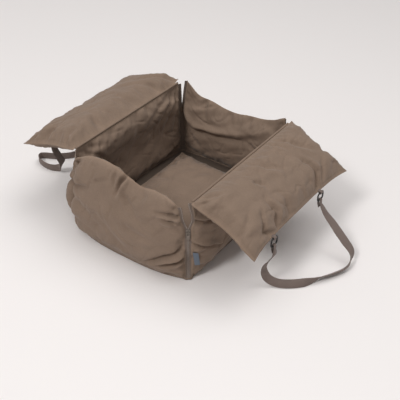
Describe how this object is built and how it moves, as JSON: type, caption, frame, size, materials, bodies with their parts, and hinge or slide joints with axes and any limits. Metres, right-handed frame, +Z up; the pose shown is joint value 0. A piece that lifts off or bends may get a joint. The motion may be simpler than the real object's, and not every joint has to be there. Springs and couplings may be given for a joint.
{
  "type": "dog car seat",
  "caption": "Soft box-shaped car seat for a small dog: quilted walls zipped at the corners, fold-out side flaps with webbing handles, and a loose cushion.",
  "frame": {"origin": "middle of the base's underside, on the surface the seat stands on", "axes": "+X towards the seat's right flap, +Y towards its back wall, +Z up"},
  "size_m": [1.1702, 0.6499, 0.3123],
  "materials": {
    "canvas": "matt brown cotton canvas",
    "wadding": "white polyester wadding",
    "base_canvas": "hard-wearing dark brown canvas",
    "board": "grey stiffening board",
    "webbing": "woven brown webbing",
    "ring_metal": "black coated steel wire",
    "zip_tape": "grey-brown woven zip tape",
    "zip_metal": "dull lacquered zinc",
    "label": "bare woven blue-grey label"
  },
  "bodies": {
    "seat": {"base_panel": "base_canvas", "base_board": "board", "front_wall_outer_panel": "canvas", "front_wall_pad": "wadding", "front_wall_lining": "canvas", "back_wall_outer_panel": "canvas", "back_wall_pad": "wadding", "back_wall_lining": "canvas", "left_wall_outer_panel": "canvas", "left_wall_pad": "wadding", "left_wall_lining": "canvas", "right_wall_outer_panel": "canvas", "right_wall_pad": "wadding", "right_wall_lining": "canvas", "cushion_top_cover": "canvas", "cushion_filling": "wadding", "cushion_under_cover": "canvas", "front_left_zip_end_wall_tape": "zip_tape", "front_left_zip_side_wall_tape": "zip_tape", "front_right_zip_end_wall_tape": "zip_tape", "front_right_zip_side_wall_tape": "zip_tape", "back_left_zip_end_wall_tape": "zip_tape", "back_left_zip_side_wall_tape": "zip_tape", "back_right_zip_end_wall_tape": "zip_tape", "back_right_zip_side_wall_tape": "zip_tape", "left_hinge_cord": "canvas", "right_hinge_cord": "canvas", "side_label": "label", "left_belt_loop": "webbing", "right_belt_loop": "webbing"},
    "left_flap": {"left_flap_upper_panel": "canvas", "left_flap_filling": "wadding", "left_flap_lower_panel": "canvas", "left_front_ring_tab": "webbing", "left_back_ring_tab": "webbing"},
    "left_handle": {"left_handle_strap": "webbing", "left_front_ring": "ring_metal", "left_back_ring": "ring_metal"},
    "right_flap": {"right_flap_upper_panel": "canvas", "right_flap_filling": "wadding", "right_flap_lower_panel": "canvas", "right_front_ring_tab": "webbing", "right_back_ring_tab": "webbing"},
    "right_handle": {"right_handle_strap": "webbing", "right_front_ring": "ring_metal", "right_back_ring": "ring_metal"},
    "front_left_slider": {"front_left_zip_slider": "zip_metal"},
    "front_left_puller": {"front_left_zip_puller": "zip_metal"},
    "front_right_slider": {"front_right_zip_slider": "zip_metal"},
    "front_right_puller": {"front_right_zip_puller": "zip_metal"},
    "back_left_slider": {"back_left_zip_slider": "zip_metal"},
    "back_left_puller": {"back_left_zip_puller": "zip_metal"},
    "back_right_slider": {"back_right_zip_slider": "zip_metal"},
    "back_right_puller": {"back_right_zip_puller": "zip_metal"}
  },
  "joints": [
    {"name": "left_flap_fold", "type": "hinge", "parent": "seat", "child": "left_flap", "pos_m": [-0.22, 0, 0.285], "axis": [0, 1, 0], "range_deg": [0, 141]},
    {"name": "right_flap_fold", "type": "hinge", "parent": "seat", "child": "right_flap", "pos_m": [0.22, 0, 0.285], "axis": [0, -1, 0], "range_deg": [0, 149]},
    {"name": "left_handle_swing", "type": "hinge", "parent": "left_flap", "child": "left_handle", "pos_m": [-0.43789, 0, 0.2217], "axis": [0, 1, 0], "range_deg": [-35, 12]},
    {"name": "right_handle_swing", "type": "hinge", "parent": "right_flap", "child": "right_handle", "pos_m": [0.42631, 0, 0.19055], "axis": [0, -1, 0], "range_deg": [-35, 12]},
    {"name": "front_left_zip_slide", "type": "slide", "parent": "seat", "child": "front_left_slider", "axis": [0.0446, 0.0446, 0.998], "range_m": [-0.147, 0.085]},
    {"name": "front_right_zip_slide", "type": "slide", "parent": "seat", "child": "front_right_slider", "axis": [-0.0124, 0.0124, 0.9998], "range_m": [-0.147, 0.079]},
    {"name": "back_left_zip_slide", "type": "slide", "parent": "seat", "child": "back_left_slider", "axis": [0.0124, -0.0124, 0.9998], "range_m": [-0.147, 0.086]},
    {"name": "back_right_zip_slide", "type": "slide", "parent": "seat", "child": "back_right_slider", "axis": [-0.0124, -0.0124, 0.9998], "range_m": [-0.147, 0.086]},
    {"name": "front_left_puller_swing", "type": "hinge", "parent": "front_left_slider", "child": "front_left_puller", "pos_m": [-0.21806, -0.26824, 0.18132], "axis": [-0.7071, 0.7071, 0], "range_deg": [0, 170]},
    {"name": "front_right_puller_swing", "type": "hinge", "parent": "front_right_slider", "child": "front_right_puller", "pos_m": [0.21471, -0.2649, 0.18109], "axis": [-0.7071, -0.7071, 0], "range_deg": [0, 170]},
    {"name": "back_left_puller_swing", "type": "hinge", "parent": "back_left_slider", "child": "back_left_puller", "pos_m": [-0.21471, 0.2649, 0.18109], "axis": [0.7071, 0.7071, 0], "range_deg": [0, 170]},
    {"name": "back_right_puller_swing", "type": "hinge", "parent": "back_right_slider", "child": "back_right_puller", "pos_m": [0.21471, 0.2649, 0.18109], "axis": [0.7071, -0.7071, 0], "range_deg": [0, 170]}
  ]
}
